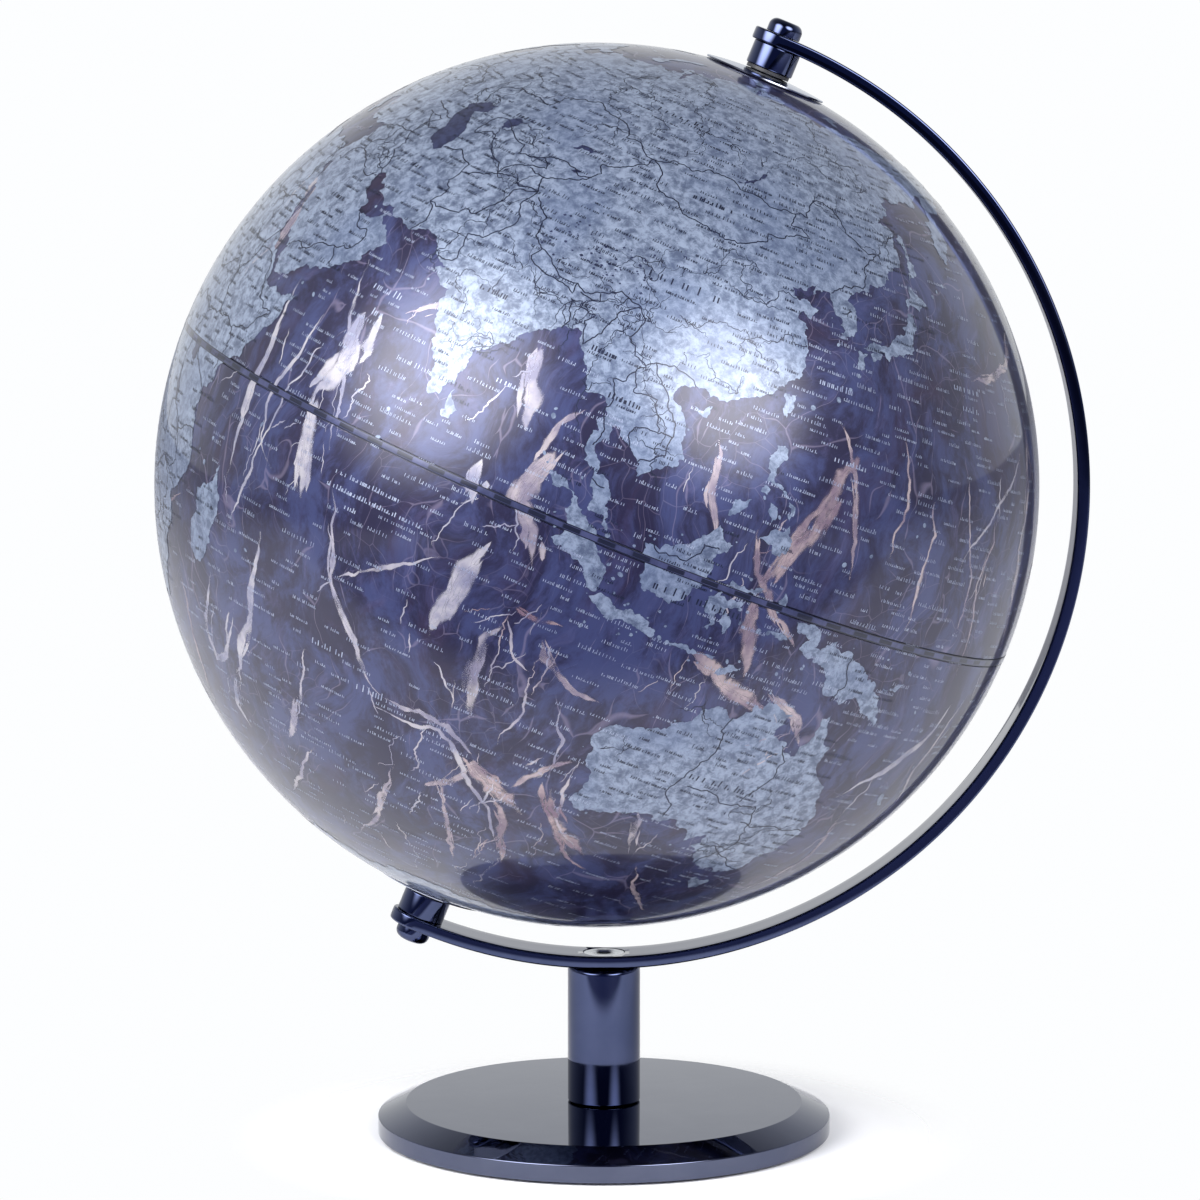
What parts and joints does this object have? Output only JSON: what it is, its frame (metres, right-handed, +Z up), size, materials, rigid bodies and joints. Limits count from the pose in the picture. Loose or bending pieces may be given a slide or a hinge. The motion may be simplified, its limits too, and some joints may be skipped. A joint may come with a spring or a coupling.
{
  "type": "desktop globe on stand",
  "caption": "Desktop globe: a hollow ball that spins on a tilted rod held by a semicircular flat-bar arm, on a short round post over a heavy bevelled disc.",
  "frame": {"origin": "centre of the base's underside, on the table and on the post's centre line", "axes": "+Z up; the flat-bar arm lies in the XZ plane and bulges towards +X, and the north end of the spin axis leans towards +X; the side that faces a viewer in front is -Y"},
  "size_m": [0.2642, 0.25, 0.3191],
  "materials": {
    "dark_chrome": "glossy dark chrome, almost a black mirror",
    "map_print": "printed political map under clear lacquer, dark marbled seas and silver land",
    "cap_metal": "thin bright dished metal",
    "tape_print": "printed tape under lacquer",
    "bright_steel": "plain turned steel",
    "nylon": "moulded nylon",
    "cardboard": "pressed board",
    "felt": "black felt"
  },
  "bodies": {
    "stand": {"base_pad": "felt", "base_plate": "dark_chrome", "base_washer": "bright_steel", "base_screw": "bright_steel", "post": "dark_chrome", "meridian_arm": "dark_chrome", "arm_screw": "bright_steel", "axle_rod": "bright_steel", "north_thrust_washer": "nylon", "south_thrust_washer": "nylon", "north_collar": "dark_chrome", "south_collar": "dark_chrome", "north_cap_nut": "dark_chrome", "south_cap_nut": "dark_chrome"},
    "globe": {"equator_tape": "tape_print", "joining_ring": "cardboard", "north_shell": "map_print", "north_polar_cap": "cap_metal", "north_bush": "nylon", "south_shell": "map_print", "south_polar_cap": "cap_metal", "south_bush": "nylon"}
  },
  "joints": [
    {"name": "globe_spin", "type": "hinge", "parent": "stand", "child": "globe", "pos_m": [-0.00199, 0, 0.18732], "axis": [0.3795, 0, 0.9252], "continuous": true}
  ]
}
